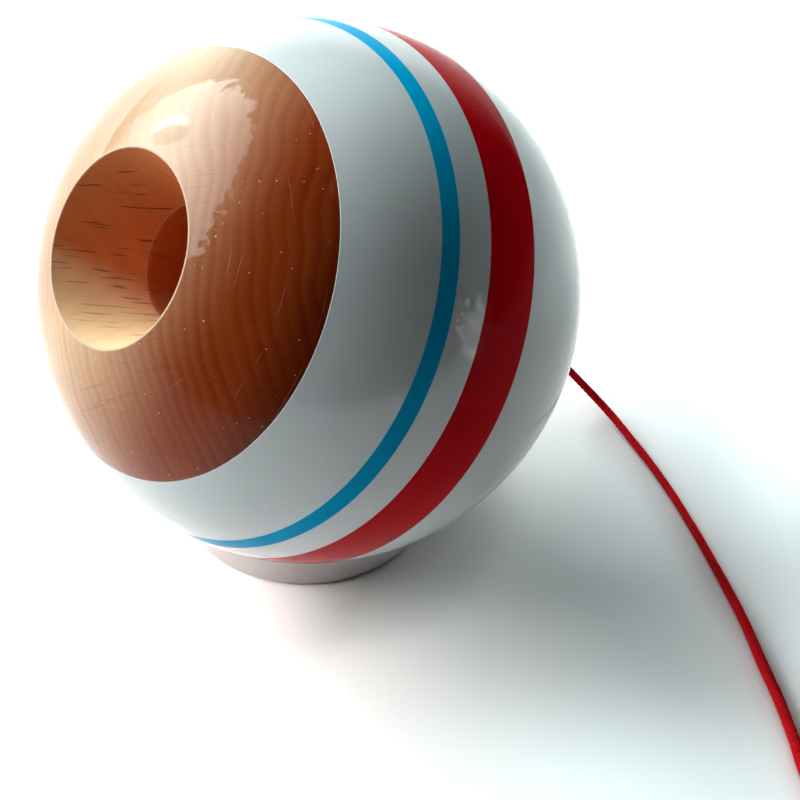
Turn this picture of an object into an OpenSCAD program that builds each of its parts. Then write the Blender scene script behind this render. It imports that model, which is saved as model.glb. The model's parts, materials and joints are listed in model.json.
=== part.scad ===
// Kendama, a cup and ball toy: the painted ball rests on a small ring, the ken with its cups
// stands beside it, and one thin cord joins the two. Millimetres, +Z up, the table at z = 0.

/* [Ball] */
// Diameter of the ball
ball_d = 60; // [50:0.5:70]
// Height of the bore's axis above the table, in degrees
mouth_tilt = 34.1; // [20:0.1:50]
// Direction of the bore's mouth seen from above, in degrees from +X
mouth_turn = 210.3; // [190:0.1:230]

/* [Bore of the ball] */
// Diameter of the bore at the ball's surface
mouth_d = 21.4; // [17:0.2:25]
// Length of the tapered mouth
taper_len = 10; // [6:0.5:13]
// Diameter of the straight bore that takes the spike
bore_d = 13.2; // [12.8:0.2:16]
// Length of the straight bore
bore_len = 14; // [8:0.5:16]
// Depth of the bead's pocket below the straight bore
pocket_len = 12; // [11:0.5:14]

/* [Paint on the ball] */
// Thickness of the white lacquer
coat_t = 0.3; // [0.2:0.05:0.5]
// Thickness of the coloured stripes
stripe_t = 0.15; // [0.1:0.01:0.18]
// Distance of the lacquer's edge from the ball's centre, along the bore
wood_edge = 18.7; // [14:0.1:21]
// Distance of the blue stripe's middle from the ball's centre, along the bore
blue_pos = 8; // [6:0.1:11]
// Width of the blue stripe, along the bore
blue_w = 2.1; // [1:0.1:4]
// Distance of the red stripe's middle from the ball's centre, along the bore
red_pos = -0.5; // [-4:0.1:1]
// Width of the red stripe, along the bore
red_w = 6.9; // [4:0.1:8]

/* [Bead and knots] */
// Diameter of the bead inside the ball
bead_d = 9.6; // [7:0.2:11]
// Length of the bead
bead_len = 7; // [5:0.25:7.5]
// Diameter of a knot
knot_d = 3.8; // [3:0.1:5]
// Length of a knot
knot_len = 3.2; // [2.4:0.1:3.6]

/* [Cord] */
// Diameter of the cord
cord_d = 1.3; // [1:0.1:1.5]
// Turns in the coil of spare cord
coil_turns = 3.25; // [2.25:1:4.25]
// Radius of the coil's outer turn
coil_r = 8.6; // [8:0.1:10]
// Step from turn to turn and from layer to layer
coil_step = 1.8; // [1.8:0.05:2.2]
// Width of the coil's tie
tie_w = 2.4; // [1.5:0.1:4]
// Thickness of the coil's tie
tie_t = 0.4; // [0.3:0.05:0.5]

/* [Ken] */
// Diameter of the base cup
base_cup_d = 35; // [32:0.5:36]
// Height of the base cup's lip
base_lip = 5; // [3:0.5:8]
// Depth of the base cup's bowl
base_bowl = 7; // [6:0.25:9]
// Diameter of the handle at its thinnest
handle_d = 15; // [13:0.5:18]
// Height from the table at which the handle is thinnest
handle_low = 28; // [22:1:34]
// Diameter of the collar under the crosspiece
collar_d = 19; // [17:0.5:22]
// Height of the collar's cylinder
collar_h = 13; // [11:0.5:20]
// Height of the crosspiece's seat above the table
seat_z = 84; // [78:0.5:95]
// Diameter of the spigot that carries the crosspiece
spigot_d = 13.6; // [13:0.1:15]
// Height of the spigot
spigot_h = 27; // [25:0.5:32]
// Diameter of the spike where it starts
spike_d = 12.4; // [11:0.1:12.6]
// Diameter of the spike near its tip
tip_d = 6.8; // [5:0.1:9]
// Length of the spike
spike_len = 67; // [55:1:75]
// Distance of the cord's hole below the crosspiece's seat
hole_drop = 6; // [5:0.25:7]

/* [Crosspiece with the two cups] */
// Length of the crosspiece
cross_len = 70; // [64:1:76]
// Diameter of its waist
waist_d = 26.4; // [25:0.2:30]
// Distance of its seat below its middle
seat_h = 11.5; // [11:0.25:12]
// Diameter of the big cup
big_cup_d = 43; // [40:0.5:46]
// Depth of the big cup's bowl
big_bowl = 9; // [8:0.25:11]
// Diameter of the small cup
small_cup_d = 38; // [34:0.5:40]
// Depth of the small cup's bowl
small_bowl = 8; // [7:0.25:10]
// Length of each cup's straight lip
cup_lip = 4; // [2:0.5:6]
// Width of a cup's rim
rim_w = 1.5; // [1:0.1:2.5]

/* [Ring under the ball] */
// Diameter of the ring
ring_d = 29.6; // [26:0.2:34]
// Height of the ring's outer wall
ring_h = 5.1; // [4:0.1:8]
// Width of the ring's wall
ring_wall = 2.6; // [2:0.1:4]
// Rounding of the ring's outer lower edge
ring_round = 0.8; // [0.4:0.1:1.2]

/* [Layout and clearances] */
// Distance from the ball's middle to the ken's axis
ball_to_ken = 84.5; // [80:0.5:95]
// Gap between the ball and its ring
seat_gap = 0.45; // [0.2:0.05:0.6]
// Gap round the cord in its holes
cord_gap = 0.35; // [0.25:0.05:0.5]
// Gap round the bead in its pocket
bead_gap = 0.6; // [0.4:0.05:1]
// Gap along the cord between the bead, its knot and the pocket
end_gap = 0.1; // [0.05:0.05:0.3]
// Running gap between the crosspiece and the spigot
slide_gap = 0.06; // [0.03:0.01:0.1]
// Gap round the collar in the crosspiece and round a knot in its recess
loose_gap = 0.4; // [0.3:0.05:0.6]
// Gap between the coil and its tie
tie_gap = 0.15; // [0.1:0.05:0.3]

/* [Hidden] */
$fn = 96;

ball_r = ball_d / 2;
cord_r = cord_d / 2;
past = 1;

// The origin is under the middle of the ball and the ken together
overall_w = ball_r + ball_to_ken + big_cup_d / 2;
ball_x = ball_r - overall_w / 2;
ken_x = ball_x + ball_to_ken;
ball_z = ring_h + sqrt(pow(ball_r + seat_gap, 2) - pow(ring_d / 2, 2));
ball_mid = [ball_x, 0, ball_z];
bore_way = [cos(mouth_tilt) * cos(mouth_turn), cos(mouth_tilt) * sin(mouth_turn), sin(mouth_tilt)];

// Stations along the bore, from the ball's centre towards the mouth
mouth_at = sqrt(pow(ball_r, 2) - pow(mouth_d / 2, 2));
taper_end = mouth_at - taper_len;
cone_len = ball_r + past - taper_end;
cone_d = bore_d + (mouth_d - bore_d) * cone_len / taper_len;
bore_end = taper_end - bore_len;
pocket_end = bore_end - pocket_len;
bead_low = pocket_end + end_gap;
bead_knot_low = bead_low + bead_len + end_gap;
pocket_d = bead_d + 2 * bead_gap;
cord_hole_d = cord_d + 2 * cord_gap;

// Heights on the ken
hole_z = seat_z - hole_drop;
spike_z = seat_z + spigot_h;
tip_z = spike_z + spike_len;
cross_z = seat_z + seat_h;
knot_recess = knot_len + loose_gap;
knot_y = collar_d / 2 - knot_recess;
grip_len = 2;

// The coil of spare cord, measured from the ken's foot
coil_from_ken = [-12.5, -45.5, 0];
coil_mid = [ken_x, 0, 0] + coil_from_ken;
coil_start = -90;
coil_rings = 24;
tie_angle = 135;
coil_angle = 360 * coil_turns;
layer_z = [tie_t + tie_gap + cord_r, tie_t + tie_gap + cord_r + coil_step];
climb = 180;

// Route of the cord from the ball to the coil, from the ball's foot on the table
exit = ball_mid - ball_r * bore_way;
exit_lead = 4.5;
coil_lead = 3.5;
ball_foot = [ball_x, 0, 0];
run_table = [
    [28.0, 16.3, 9.6], [31.6, 17.0, 4.6], [35.6, 14.6, 1.5], [39.0, 9.3, 0.8], [41.8, 3.8, 0.7],
    [44.2, -1.9, 0.7], [46.4, -7.8, 0.7], [48.4, -13.6, 0.7], [50.2, -19.4, 0.7], [51.6, -25.0, 0.7],
    [53.1, -30.6, 0.7], [54.3, -36.2, 0.7], [55.3, -41.6, 0.7], [57.7, -47.2, 0.8], [61.8, -51.6, 1.0]];
coil_in = coil_mid + [-cord_d, -coil_r, layer_z[0]];
run_route = concat(
    [exit, exit - exit_lead * bore_way],
    [for (p = run_table) ball_foot + p],
    [coil_in - [coil_lead, 0, 0], coil_in]);

// Route of the cord from the coil up to its hole in the ken, from the ken's foot on the table
ken_foot = [ken_x, 0, 0];
hole_lead = 3.7;
drop_table = [
    [-3.5, -36.6, 1.5], [-2.5, -32.2, 0.8], [-1.1, -28.2, 1.8], [-0.2, -25.2, 5.4], [0, -23.0, 11.6],
    [0, -21.2, 19.6], [0, -20.0, 28.0], [0, -19.2, 36.6], [0, -18.6, 45.2], [0, -18.2, 53.8],
    [0, -17.9, 62.0], [0, -17.6, 69.0], [0, -16.6, 75.2]];
coil_out = coil_mid + [coil_r, cord_d, layer_z[1]];
drop_route = concat(
    [coil_out, coil_out + [0, coil_lead, 0]],
    [for (p = drop_table) ken_foot + p],
    [[ken_x, -collar_d / 2 - hole_lead, hole_z], [ken_x, -collar_d / 2, hole_z], [ken_x, knot_y, hole_z]]);

function unit(v) = v / norm(v);
function total(list, i = 0) = i == len(list) ? 0 : list[i] + total(list, i + 1);
function length_of(path) = total([for (i = [1 : len(path) - 1]) norm(path[i] - path[i - 1])]);

// A smooth curve through the points p, with some steps between each two of them
function between(a, b, c, d, u) =
    b + u * (c - a) / 2 + u * u * (a - 2.5 * b + 2 * c - d / 2) + u * u * u * (1.5 * (b - c) + (d - a) / 2);
function smooth(p, steps) = concat(
    [for (i = [0 : len(p) - 2], k = [0 : steps - 1])
        between(p[max(i - 1, 0)], p[i], p[i + 1], p[min(i + 2, len(p) - 1)], k / steps)],
    [p[len(p) - 1]]);

// Directions along a path, and across it without twist
function along(path, i) = unit(path[min(i + 1, len(path) - 1)] - path[max(i - 1, 0)]);
function across(v, way) = unit(v - (v * way) * way);
function carried(path, side, i = 0) = i == len(path) ? [] :
    let (s = across(side, along(path, i))) concat([s], carried(path, s, i + 1));

// The coil spirals in on the table, climbs a layer at its smallest turn and spirals out again
function ease(u) = let (t = min(max(u, 0), 1)) t * t * (3 - 2 * t);
function coil_point(turned) =
    let (r = coil_r - coil_step * min(turned, coil_angle - turned) / 360,
        z = layer_z[0] + coil_step * ease((turned - coil_angle / 2 + climb / 2) / climb),
        a = coil_start + turned)
    coil_mid + [r * cos(a), r * sin(a), z];
coil_turn = [for (i = [0 : coil_turns * coil_rings]) coil_point(360 * i / coil_rings)];
coil_path = concat([coil_in], coil_turn, [coil_out]);
coil_gap = min([for (i = [0 : len(coil_turn) - 1], k = [i + coil_rings / 2 : len(coil_turn) - 1])
    norm(coil_turn[i] - coil_turn[k])]) - cord_d;
run_path = smooth(run_route, 2);
drop_path = smooth(drop_route, 2);

echo(coil_least_gap = coil_gap);
echo(cord_run = length_of(run_path), cord_coil = length_of(coil_path), cord_drop = length_of(drop_path));

// A round tube along a path
module tube(path, d, sides) {
    side = carried(path, [0, 0, 1]);
    last = len(path) - 1;
    points = [for (i = [0 : last], k = [0 : sides - 1])
        let (a = 360 * k / sides, way = along(path, i))
        path[i] + d / 2 * (cos(a) * side[i] + sin(a) * cross(way, side[i]))];
    walls = [for (i = [0 : last - 1], k = [0 : sides - 1])
        let (a = i * sides + k, b = i * sides + (k + 1) % sides)
        each [[a, a + sides, b], [b, a + sides, b + sides]]];
    start_cap = [for (k = [1 : sides - 2]) [0, k, k + 1]];
    end_cap = [for (k = [1 : sides - 2]) [last * sides, last * sides + k + 1, last * sides + k]];
    polyhedron(points, concat(walls, start_cap, end_cap));
}

// Puts a shape made round +Z at the origin into the ball, with +Z out of the mouth
module in_ball() {
    translate(ball_mid) rotate([0, 90 - mouth_tilt, mouth_turn]) children();
}

module up(z) {
    translate([0, 0, z]) children();
}

// A shell at the ball's surface, between two distances along the bore; a cutting shell stands proud of it
module skin(thick, low, high, proud = 0) {
    intersection() {
        difference() {
            sphere(ball_r + proud);
            sphere(ball_r - thick);
        }
        up(low) cylinder(r = ball_r + 2 * past, h = high - low);
    }
}

module cord_hole() {
    up(-ball_r - past) cylinder(d = cord_hole_d, h = ball_r + past);
}

module ball_core() color("#c98f5c") in_ball() difference() {
    sphere(ball_r);
    skin(coat_t, -ball_r - 2 * past, wood_edge, past);
    up(taper_end) cylinder(d1 = bore_d, d2 = cone_d, h = cone_len);
    up(bore_end) cylinder(d = bore_d, h = bore_len + past / 2);
    up(pocket_end) cylinder(d = pocket_d, h = pocket_len + past);
    cord_hole();
}

module white_lacquer() color("white") in_ball() difference() {
    skin(coat_t, -ball_r - past, wood_edge);
    skin(stripe_t, blue_pos - blue_w / 2, blue_pos + blue_w / 2, past);
    skin(stripe_t, red_pos - red_w / 2, red_pos + red_w / 2, past);
    cord_hole();
}

module blue_stripe() color("#0090bf") in_ball() skin(stripe_t, blue_pos - blue_w / 2, blue_pos + blue_w / 2);

module red_stripe() color("#a80014") in_ball() skin(stripe_t, red_pos - red_w / 2, red_pos + red_w / 2);

// A short drum with a rounded side, from z = 0 upwards
module drum(d, len) {
    rotate_extrude() intersection() {
        union() {
            translate([d / 2 - len / 2, len / 2]) circle(len / 2);
            square([d / 2 - len / 2, len]);
        }
        square([d, len]);
    }
}

module bead() color("#d9a76f") in_ball() up(bead_low) difference() {
    drum(bead_d, bead_len);
    up(-past) cylinder(d = cord_hole_d, h = bead_len + 2 * past);
}

module bead_knot() color("#c01020") in_ball() up(bead_knot_low) drum(knot_d, knot_len);

module cord_in_ball() color("#c01020") in_ball() up(-ball_r) cylinder(d = cord_d, h = bead_knot_low + ball_r);

module cord_run() color("#c01020") tube(run_path, cord_d, 8);

module cord_coil() color("#c01020") tube(coil_path, cord_d, 6);

module cord_drop() color("#c01020") tube(drop_path, cord_d, 8);

// A band round all the turns of the coil, on the side away from the cord's two ends
module coil_tie() {
    inner = coil_r - coil_step * coil_turns / 2 - cord_r - tie_gap;
    outer = coil_r + cord_r + tie_gap;
    low = layer_z[0] - cord_r - tie_gap;
    high = layer_z[1] + cord_r + tie_gap;
    color("#efe6d2") translate(coil_mid) rotate([0, 0, tie_angle]) rotate([90, 0, 0])
        translate([0, 0, -tie_w / 2]) linear_extrude(tie_w) difference() {
            translate([inner - tie_t, low - tie_t]) square([outer - inner + 2 * tie_t, high - low + 2 * tie_t]);
            translate([inner, low]) square([outer - inner, high - low]);
        }
}

// Points of a soft S from radius r1 at height z1 to radius r2 at height z2
function s_curve(r1, z1, r2, z2, steps = 10) = [for (i = [0 : steps])
    [r2 + (r1 - r2) * (1 + cos(180 * i / steps)) / 2, z1 + (z2 - z1) * i / steps]];

// Points of a quarter round at an edge, with its centre at [x, z]
function quarter(x, z, r, from, steps = 6) = [for (i = [0 : steps])
    let (a = from + 90 * i / steps) [x + r * cos(a), z + r * sin(a)]];

// Radius of a bowl from the radius of its rim and its depth
function bowl_r(rim_r, depth) = (rim_r * rim_r + depth * depth) / (2 * depth);

// The hollow of a cup that opens at z = 0, with the cup above it
module bowl(cup_d, depth) {
    r = bowl_r(cup_d / 2 - rim_w, depth);
    up(depth - r) sphere(r);
}

module ken() {
    base_r = base_cup_d / 2;
    edge = rim_w / 2;
    outline = concat(
        [[0, 0]],
        quarter(base_r - edge, edge, edge, 270),
        s_curve(base_r, base_lip, handle_d / 2, handle_low),
        s_curve(handle_d / 2, handle_low + grip_len, collar_d / 2, seat_z - collar_h),
        [[collar_d / 2, seat_z], [spigot_d / 2, seat_z], [spigot_d / 2, spike_z - edge], [spike_d / 2, spike_z]],
        quarter(0, tip_z - tip_d / 2, tip_d / 2, 0));
    color("#d6a878") translate(ken_foot) difference() {
        rotate_extrude() polygon(outline);
        bowl(base_cup_d, base_bowl);
        up(hole_z) rotate([90, 0, 0]) cylinder(d = cord_hole_d, h = collar_d + 2 * past, center = true);
        translate([0, knot_y, hole_z]) rotate([-90, 0, 0])
            cylinder(d = knot_d + 2 * loose_gap, h = knot_recess + past);
    }
}

module ken_knot() color("#c01020") translate([ken_x, knot_y, hole_z]) rotate([-90, 0, 0]) drum(knot_d, knot_len);

// Half of the crosspiece round +Z, from its middle out to the rim of one cup
module half_cross(cup_d, depth) {
    half = cross_len / 2;
    edge = rim_w / 2;
    flat = collar_d / 2 + loose_gap;
    outline = concat(
        [[0, 0], [waist_d / 2, 0]],
        s_curve(waist_d / 2, flat, cup_d / 2, half - cup_lip),
        quarter(cup_d / 2 - edge, half - edge, edge, 0),
        [[0, half]]);
    difference() {
        rotate_extrude() polygon(outline);
        up(half) mirror([0, 0, 1]) bowl(cup_d, depth);
    }
}

module sarado() color("#d6a878") translate([ken_x, 0, cross_z]) difference() {
    union() {
        rotate([90, 0, 0]) half_cross(big_cup_d, big_bowl);
        rotate([-90, 0, 0]) half_cross(small_cup_d, small_bowl);
    }
    cylinder(d = spigot_d + 2 * slide_gap, h = waist_d + 2 * past, center = true);
    up(-seat_h - waist_d) cylinder(d = collar_d + 2 * loose_gap, h = waist_d);
}

module rest_ring() color("#d8d2cc") translate(ball_foot) difference() {
    rotate_extrude() union() {
        translate([ring_d / 2 - ring_wall, 0]) square([ring_wall - ring_round, ring_h]);
        translate([ring_d / 2 - ring_wall, ring_round]) square([ring_wall, ring_h - ring_round]);
        translate([ring_d / 2 - ring_round, ring_round]) circle(ring_round);
    }
    up(ball_z) sphere(ball_r + seat_gap);
}

ball_core();
white_lacquer();
blue_stripe();
red_stripe();
bead();
bead_knot();
cord_in_ball();
cord_run();
cord_coil();
coil_tie();
cord_drop();
ken();
ken_knot();
sarado();
rest_ring();
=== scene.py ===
# %% [markdown]
# # A kendama: the painted ball, its cord and the ken
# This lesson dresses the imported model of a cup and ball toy. That model is the fixed frame: it says where
# every piece lies and how it moves. Each step makes one piece or one finish, and puts it where the frame
# says.

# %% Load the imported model
import json
import math

import bmesh
import bpy
import numpy as np
from mathutils import Matrix, Quaternion, Vector


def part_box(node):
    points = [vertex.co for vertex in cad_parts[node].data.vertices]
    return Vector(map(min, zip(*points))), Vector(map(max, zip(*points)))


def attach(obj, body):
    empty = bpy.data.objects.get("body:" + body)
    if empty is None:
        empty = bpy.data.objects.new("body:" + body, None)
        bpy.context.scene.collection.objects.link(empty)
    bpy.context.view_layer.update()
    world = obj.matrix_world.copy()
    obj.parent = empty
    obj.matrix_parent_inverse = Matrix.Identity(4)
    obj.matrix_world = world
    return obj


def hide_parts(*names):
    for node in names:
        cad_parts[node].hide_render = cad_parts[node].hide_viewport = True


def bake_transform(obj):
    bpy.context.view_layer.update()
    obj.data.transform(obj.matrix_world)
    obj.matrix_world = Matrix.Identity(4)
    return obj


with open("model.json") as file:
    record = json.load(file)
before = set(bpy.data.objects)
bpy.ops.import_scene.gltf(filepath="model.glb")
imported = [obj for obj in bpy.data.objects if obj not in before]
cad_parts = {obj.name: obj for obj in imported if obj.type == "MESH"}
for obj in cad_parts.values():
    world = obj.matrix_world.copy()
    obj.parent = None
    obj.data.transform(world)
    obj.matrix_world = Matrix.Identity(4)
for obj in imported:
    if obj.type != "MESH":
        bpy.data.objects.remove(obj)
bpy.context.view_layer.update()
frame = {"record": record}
scene = bpy.context.scene

# %% [markdown]
# ## Places
# The joints say where the ball's middle is and which way its bore points. The ken's box says where the ken
# stands. Most lengths below are in millimetres, and MM turns them into metres. Small helpers give a place,
# a turn, a mesh and an object in the scene.

# %% Places that the frame gives
MM = 0.001
joints = {joint["name"]: joint for joint in frame["record"]["behaviour"]["joints"]}
ball_mid = Vector(joints["ball_spin"]["pos_m"])
bore_way = Vector(joints["ball_spin"]["axis"]).normalized()
ball_foot = Vector((ball_mid.x, ball_mid.y, 0))
ken_low, ken_high = (Vector(end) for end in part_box("ken"))
ken_foot = Vector(((ken_low.x + ken_high.x) / 2, (ken_low.y + ken_high.y) / 2, 0))
world_frame = Matrix.Identity(4)


def placed(name, data):
    made = bpy.data.objects.new(name, data)
    scene.collection.objects.link(made)
    return made


def mm(x, y, z):
    return Vector((x, y, z)) * MM


def about(axis, degrees):
    return Matrix.Rotation(math.radians(degrees), 4, axis)


def shaped(name, spots, links, faces, *finishes):
    shape = bpy.data.meshes.new(name)
    shape.from_pydata(spots, links, faces)
    for finish in finishes:
        shape.materials.append(finish)
    return shape


print("ball", ball_mid, "bore", bore_way, "ken", ken_foot)

# %% [markdown]
# ## Camera
# The camera comes first, because the cord has to leave the picture where the photograph's cord does. The
# photograph was taken from close by, looking down at about 44 degrees, with the camera rolled by three
# degrees. A long lens with no shift gives the same outline of the ball.

# %% Camera
camera_at = ball_foot + Vector((-0.00018, -0.28699, 0.28902))
look_way = Vector((0.02746, 0.72365, -0.68962))
roll = math.radians(3.15)

camera_data = bpy.data.cameras.new("camera")
camera_data.sensor_width = 36
camera_data.lens = 157.5
camera_data.clip_start = 0.01
camera = placed("camera", camera_data)
camera.location = camera_at
camera.rotation_mode = "QUATERNION"
camera.rotation_quaternion = look_way.to_track_quat("-Z", "Y") @ Quaternion((0, 0, 1), roll)
scene.camera = camera
print("camera", camera.location, "lens", camera_data.lens)

# %% [markdown]
# ## Helpers for finishes
# Every finish is a node tree. Small helpers add a node and wire it, do arithmetic, mix two colours, and
# make soft steps, noise and bumps. A soft step rises from 0 to 1 between two values, and it falls if the
# first value is the higher one. Patterns read Object coordinates, and a Mapping node turns them into
# millimetres in the piece's own directions.

# %% Node helpers
def new_finish(name):
    finish = bpy.data.materials.new(name)
    finish.use_nodes = True
    return finish, finish.node_tree, finish.node_tree.nodes["Principled BSDF"]


def add(tree, kind, inputs=(), **settings):
    node = tree.nodes.new(kind)
    for key, value in settings.items():
        setattr(node, key, value)
    for key, value in dict(inputs).items():
        if isinstance(value, bpy.types.NodeSocket):
            tree.links.new(value, node.inputs[key])
        else:
            node.inputs[key].default_value = value
    return node


def out(tree, kind, inputs=(), **settings):
    return add(tree, kind, inputs, **settings).outputs[0]


def calc(tree, operation, *values):
    return out(tree, "ShaderNodeMath", enumerate(values), operation=operation)


def times(tree, a, b):
    return calc(tree, "MULTIPLY", a, b)


def scaled(tree, value, by, plus):
    return calc(tree, "MULTIPLY_ADD", value, by, plus)


def vector(tree, operation, inputs):
    return out(tree, "ShaderNodeVectorMath", inputs, operation=operation)


def measure(tree, operation, *vectors):
    node = add(tree, "ShaderNodeVectorMath", enumerate(vectors), operation=operation)
    return node.outputs["Value"]


def parts(tree, value):
    return add(tree, "ShaderNodeSeparateXYZ", {0: value}).outputs


def mixed(tree, share, low, high, way="MIX"):
    low = (*low, 1) if isinstance(low, tuple) else low
    high = (*high, 1) if isinstance(high, tuple) else high
    inputs = {0: share, 6: low, 7: high}
    return add(tree, "ShaderNodeMix", inputs, data_type="RGBA", blend_type=way).outputs[2]


def rise(tree, value, low, high):
    inputs = {"Value": value, "From Min": low, "From Max": high}
    return out(tree, "ShaderNodeMapRange", inputs, interpolation_type="SMOOTHSTEP")


def between(tree, value, low, high):
    inputs = {"Value": value, "To Min": low, "To Max": high}
    return out(tree, "ShaderNodeMapRange", inputs)


def by_number(tree, value):
    number = calc(tree, "FLOOR", value)
    return out(tree, "ShaderNodeTexWhiteNoise", {"W": number}, noise_dimensions="1D")


def point_in(tree, place):
    where = add(tree, "ShaderNodeTexCoord").outputs["Object"]
    inputs = {"Vector": where, "Location": place.to_translation(), "Rotation": place.to_euler("XYZ"),
              "Scale": (MM, MM, MM)}
    return out(tree, "ShaderNodeMapping", inputs, vector_type="TEXTURE")


def stretched(tree, point, x, y, z):
    return vector(tree, "MULTIPLY", {0: point, 1: (x, y, z)})


def noise(tree, point, scale, detail=2.0, rough=0.5):
    inputs = {"Vector": point, "Scale": scale, "Detail": detail, "Roughness": rough}
    return out(tree, "ShaderNodeTexNoise", inputs)


def raised(tree, height, strength, distance):
    inputs = {"Height": height, "Strength": strength, "Distance": distance * MM}
    return out(tree, "ShaderNodeBump", inputs)


def wire(tree, shader, **sockets):
    for name, value in sockets.items():
        socket = shader.inputs[name.replace("_", " ")]
        if isinstance(value, bpy.types.NodeSocket):
            tree.links.new(value, socket)
        else:
            socket.default_value = (*value, 1) if isinstance(value, tuple) else value


print("helpers ready")

# %% [markdown]
# ## Red cord finish
# The cord is a thin braid of red polyester. A coarse noise shifts its colour along the cord, and a fine
# noise darkens it between the fibres and roughens them with a small bump.

# %% Red cord finish
cord_finish, tree, shader = new_finish("red_cord")
point = point_in(tree, world_frame)
patch = noise(tree, point, 0.35)
fibre = noise(tree, point, 9.0, rough=0.6)
colour = mixed(tree, rise(tree, patch, 0.3, 0.7), (0.78, 0.003, 0.010), (0.90, 0.006, 0.018))
dark = times(tree, rise(tree, fibre, 0.4, 0.8), 0.5)
colour = mixed(tree, dark, colour, (0.5, 0.0, 0.008))
wire(tree, shader, Base_Color=colour, Roughness=0.6, Specular_IOR_Level=0.05,
     Normal=raised(tree, fibre, strength=0.35, distance=0.04))
print(cord_finish.name, len(tree.nodes), "nodes")

# %% [markdown]
# ## Cord
# One length of cord runs from the bead inside the ball, out at the back, along the table, round a small
# coil and up into the ken. The points are listed in the part's source, so they are repeated here.

# %% Points of the cord
cord_d = 1.3
cord_r = cord_d / 2
ball_r = 30.0
run_table = [
    (28.0, 16.3, 9.6), (31.6, 17.0, 4.6), (35.6, 14.6, 1.5), (39.0, 9.3, 0.8), (41.8, 3.8, 0.7),
    (44.2, -1.9, 0.7), (46.4, -7.8, 0.7), (48.4, -13.6, 0.7), (50.2, -19.4, 0.7), (51.6, -25.0, 0.7),
    (53.1, -30.6, 0.7), (54.3, -36.2, 0.7), (55.3, -41.6, 0.7), (57.7, -47.2, 0.8), (61.8, -51.6, 1.0)]
drop_table = [
    (-3.5, -36.6, 1.5), (-2.5, -32.2, 0.8), (-1.1, -28.2, 1.8), (-0.2, -25.2, 5.4), (0, -23.0, 11.6),
    (0, -21.2, 19.6), (0, -20.0, 28.0), (0, -19.2, 36.6), (0, -18.6, 45.2), (0, -18.2, 53.8),
    (0, -17.9, 62.0), (0, -17.6, 69.0), (0, -16.6, 75.2)]
exit_lead, coil_lead, hole_lead = 4.5, 3.5, 3.7
coil_r, coil_step, coil_turns = 8.6, 1.8, 3.25
layers = (1.2, 1.2 + coil_step)
coil_mid = ken_foot + mm(-12.5, -45.5, 0)
collar_r, hole_z, knot_y = 9.5, 78.0, 5.9
print("points set by hand", len(run_table) + len(drop_table))

# %% [markdown]
# ## Route
# A smooth curve goes through the points, and a formula winds the coil: it spirals in, climbs a layer and
# spirals out again.

# %% Route of the cord
coil_points, curve_steps = 157, 10
path_gap = 0.2 * MM
same_place = 1e-7


def coil_point(turned_by):
    whole = 360 * coil_turns
    radius = coil_r - coil_step * min(turned_by, whole - turned_by) / 360
    climb = min(max((turned_by - whole / 2 + 90) / 180, 0), 1)
    height = layers[0] + coil_step * climb * climb * (3 - 2 * climb)
    angle = math.radians(turned_by - 90)
    return coil_mid + mm(radius * math.cos(angle), radius * math.sin(angle), height)


def smooth(points):
    path = []
    for i in range(len(points) - 1):
        a, b = points[max(i - 1, 0)], points[i]
        c, d = points[i + 1], points[min(i + 2, len(points) - 1)]
        for k in range(curve_steps):
            u = k / curve_steps
            path.append(b + u * (c - a) / 2 + u * u * (a - 2.5 * b + 2 * c - d / 2)
                        + u * u * u * (1.5 * (b - c) + (d - a) / 2))
    return path + [points[-1]]


def evenly(points):
    points = np.array([tuple(point) for point in points])
    steps = np.linalg.norm(np.diff(points, axis=0), axis=1)
    points = points[np.concatenate([[True], steps > same_place])]
    run = np.concatenate([[0], np.cumsum(np.linalg.norm(np.diff(points, axis=0), axis=1))])
    at = np.linspace(0, run[-1], int(run[-1] / path_gap) + 2)
    return np.column_stack([np.interp(at, run, points[:, k]) for k in range(3)]), run[-1]


cord_exit = ball_mid - bore_way * ball_r * MM
coil_in = coil_mid + mm(-cord_d, -coil_r, layers[0])
coil_out = coil_mid + mm(coil_r, cord_d, layers[1])
run_route = [cord_exit, cord_exit - bore_way * exit_lead * MM]
run_route += [ball_foot + mm(*p) for p in run_table]
run_route += [coil_in - mm(coil_lead, 0, 0), coil_in]
drop_route = [coil_out, coil_out + mm(0, coil_lead, 0)]
drop_route += [ken_foot + mm(*p) for p in drop_table]
hole_ys = (-collar_r - hole_lead, -collar_r, knot_y)
drop_route += [ken_foot + mm(0, y, hole_z) for y in hole_ys]
coil_route = [coil_point(360 * coil_turns * k / (coil_points - 1)) for k in range(coil_points)]
cord_path, cord_length = evenly(smooth(run_route) + coil_route + smooth(drop_route))
print("cord", len(cord_path), "points", round(cord_length, 4), "m")

# %% [markdown]
# ## Braid
# Up close the cord is twelve threads that cross over and under each other. That is a rule along a path, so
# Geometry Nodes make it: twelve copies of the path wind round it, six each way, and each thread rises where
# it goes over and sinks where it goes under. Near its first end the braid is drawn tight, and further on it
# is slacker. The same tree makes the knots and the stretch inside the ball.

# %% Braid tree
braid = bpy.data.node_groups.new("braided_cord", "GeometryNodeTree")
braid_inputs = (
    ("Path", "Geometry", None), ("Threads", "Int", 12), ("Lay", "Float", 3.6 * MM),
    ("Middle radius", "Float", 0.43 * MM), ("Weave", "Float", 0.035 * MM),
    ("Thread radius", "Float", 0.185 * MM), ("Finish", "Material", None))
sockets = {}
for label, kind, preset in braid_inputs:
    socket = braid.interface.new_socket(label, in_out="INPUT", socket_type="NodeSocket" + kind)
    sockets[label] = socket.identifier
    if preset is not None:
        socket.default_value = preset
braid.interface.new_socket("Braid", in_out="OUTPUT", socket_type="NodeSocketGeometry")

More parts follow.
